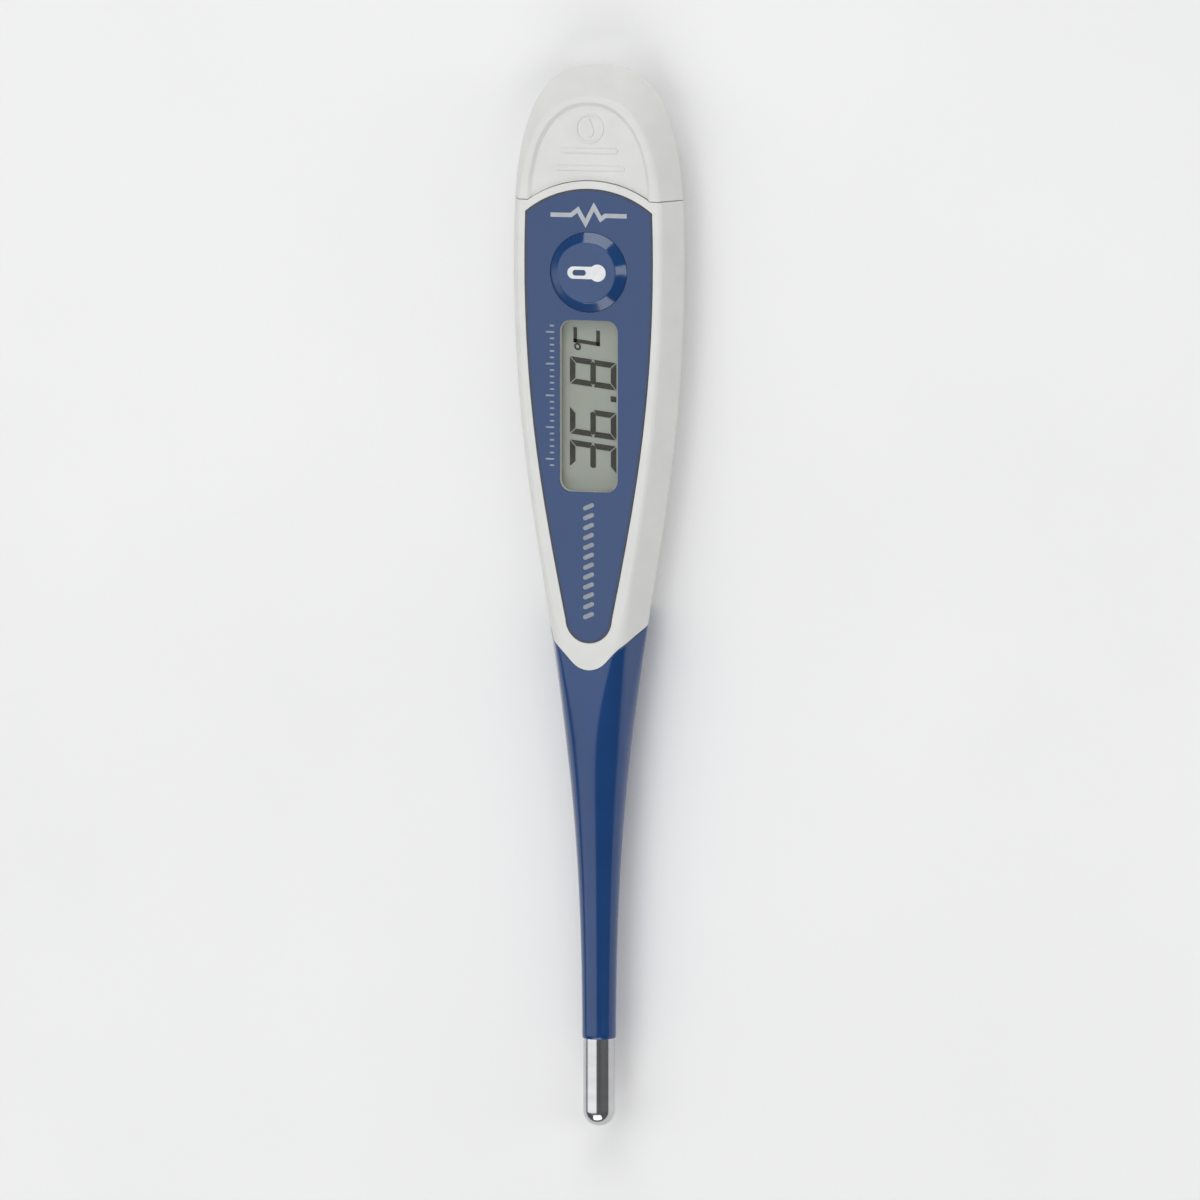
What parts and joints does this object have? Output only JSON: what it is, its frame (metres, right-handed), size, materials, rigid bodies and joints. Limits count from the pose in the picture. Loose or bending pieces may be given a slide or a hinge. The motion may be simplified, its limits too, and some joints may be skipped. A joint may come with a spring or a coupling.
{
  "type": "digital thermometer",
  "caption": "Slim digital clinical thermometer: white shell, blue front overlay with push button and display, soft bending neck and steel tip, pull-off battery cover.",
  "frame": {"origin": "under the middle of the instrument, on the plane its flat back rests on", "axes": "+Y from the steel tip to the battery cover, +Z out of the front with button and display, X across"},
  "size_m": [0.0224, 0.1344, 0.0097],
  "materials": {
    "white_shell": "fine satin",
    "blue_overlay": "high gloss film",
    "clear_window": "clear",
    "blue_button": "gloss",
    "soft_sleeve": "smooth gloss elastomer",
    "polished_steel": "polished",
    "silicone": "matte",
    "inner_plastic": "matte",
    "board": "solder mask",
    "lcd_glass": "clear",
    "lcd_reflector": "satin film",
    "elastomer": "striped",
    "epoxy": "gloss drop",
    "components": "matte",
    "brass": "satin",
    "ceramic": "matte",
    "spring_steel": "bright",
    "cell_steel": "satin",
    "wire_insulation": "matte"
  },
  "bodies": {
    "instrument": {"housing": "white_shell", "front_panel": "blue_overlay", "display_window": "clear_window", "button_seal": "silicone", "carrier": "inner_plastic", "circuit_board": "board", "lcd_front_glass": "lcd_glass", "lcd_back_glass": "lcd_glass", "lcd_reflector": "lcd_reflector", "elastomer_connector": "elastomer", "controller_chip": "epoxy", "chip_components": "components", "switch_base": "inner_plastic", "switch_dome": "spring_steel", "buzzer_plate": "brass", "buzzer_ceramic": "ceramic", "buzzer_springs": "spring_steel", "positive_contact": "spring_steel", "negative_contact": "spring_steel", "lead_wires": "wire_insulation", "sleeve_collar": "soft_sleeve"},
    "push_button": {"button": "blue_button"},
    "switch_plunger": {"switch_plunger": "inner_plastic"},
    "cover": {"battery_cover": "white_shell", "cover_seal": "silicone"},
    "cell": {"battery_cell": "cell_steel"},
    "neck_1": {"sleeve_segment_1": "soft_sleeve", "lead_segment_1": "wire_insulation"},
    "neck_2": {"sleeve_segment_2": "soft_sleeve", "lead_segment_2": "wire_insulation"},
    "neck_3": {"sleeve_segment_3": "soft_sleeve", "lead_segment_3": "wire_insulation"},
    "neck_4": {"sleeve_segment_4": "soft_sleeve", "lead_segment_4": "wire_insulation"},
    "neck_5": {"sleeve_segment_5": "soft_sleeve", "lead_segment_5": "wire_insulation"},
    "neck_6": {"sleeve_segment_6": "soft_sleeve", "lead_segment_6": "wire_insulation"},
    "neck_7": {"sleeve_segment_7": "soft_sleeve", "lead_segment_7": "wire_insulation"},
    "tip": {"sleeve_end": "soft_sleeve", "tip_leads": "wire_insulation", "thermistor_bead": "epoxy", "tip_potting": "epoxy", "probe_tip": "polished_steel"}
  },
  "joints": [
    {"name": "button_press", "type": "slide", "parent": "instrument", "child": "push_button", "axis": [0, 0, -1], "range_m": [0, 0.00035], "stiffness_N_per_m": 4000},
    {"name": "plunger_press", "type": "slide", "parent": "instrument", "child": "switch_plunger", "axis": [0, 0, -1], "range_m": [0, 0.00035], "deforming": ["switch_dome"]},
    {"name": "cover_pull", "type": "slide", "parent": "instrument", "child": "cover", "axis": [0, 1, 0], "range_m": [0, 0.03]},
    {"name": "cell_slide", "type": "slide", "parent": "instrument", "child": "cell", "axis": [0, 1, 0], "range_m": [0, 0.012]},
    {"name": "bend_1", "type": "hinge", "parent": "instrument", "child": "neck_1", "pos_m": [0, -0.0211, 0.0044], "axis": [1, 0, 0], "range_deg": [-15, 15], "stiffness_Nm_per_rad": 0.02},
    {"name": "sway_1", "type": "hinge", "parent": "neck_1", "child": "neck_2", "pos_m": [0, -0.02516, 0.0044], "axis": [0, 0, 1], "range_deg": [-15, 15], "stiffness_Nm_per_rad": 0.02},
    {"name": "bend_2", "type": "hinge", "parent": "neck_2", "child": "neck_3", "pos_m": [0, -0.02921, 0.0044], "axis": [1, 0, 0], "range_deg": [-15, 15], "stiffness_Nm_per_rad": 0.02},
    {"name": "sway_2", "type": "hinge", "parent": "neck_3", "child": "neck_4", "pos_m": [0, -0.03327, 0.0044], "axis": [0, 0, 1], "range_deg": [-15, 15], "stiffness_Nm_per_rad": 0.02},
    {"name": "bend_3", "type": "hinge", "parent": "neck_4", "child": "neck_5", "pos_m": [0, -0.03733, 0.0044], "axis": [1, 0, 0], "range_deg": [-15, 15], "stiffness_Nm_per_rad": 0.02},
    {"name": "sway_3", "type": "hinge", "parent": "neck_5", "child": "neck_6", "pos_m": [0, -0.04139, 0.0044], "axis": [0, 0, 1], "range_deg": [-15, 15], "stiffness_Nm_per_rad": 0.02},
    {"name": "bend_4", "type": "hinge", "parent": "neck_6", "child": "neck_7", "pos_m": [0, -0.04544, 0.0044], "axis": [1, 0, 0], "range_deg": [-15, 15], "stiffness_Nm_per_rad": 0.02},
    {"name": "sway_4", "type": "hinge", "parent": "neck_7", "child": "tip", "pos_m": [0, -0.0495, 0.0044], "axis": [0, 0, 1], "range_deg": [-15, 15], "stiffness_Nm_per_rad": 0.02}
  ],
  "couplings": [
    {"joint": "plunger_press", "follows": "button_press", "ratio": 1},
    {"joint": "cell_slide", "follows": "cover_pull", "ratio": 0.4},
    {"joint": "bend_2", "follows": "bend_1", "ratio": 1},
    {"joint": "sway_2", "follows": "sway_1", "ratio": 1},
    {"joint": "bend_3", "follows": "bend_1", "ratio": 1},
    {"joint": "sway_3", "follows": "sway_1", "ratio": 1},
    {"joint": "bend_4", "follows": "bend_1", "ratio": 1},
    {"joint": "sway_4", "follows": "sway_1", "ratio": 1}
  ]
}
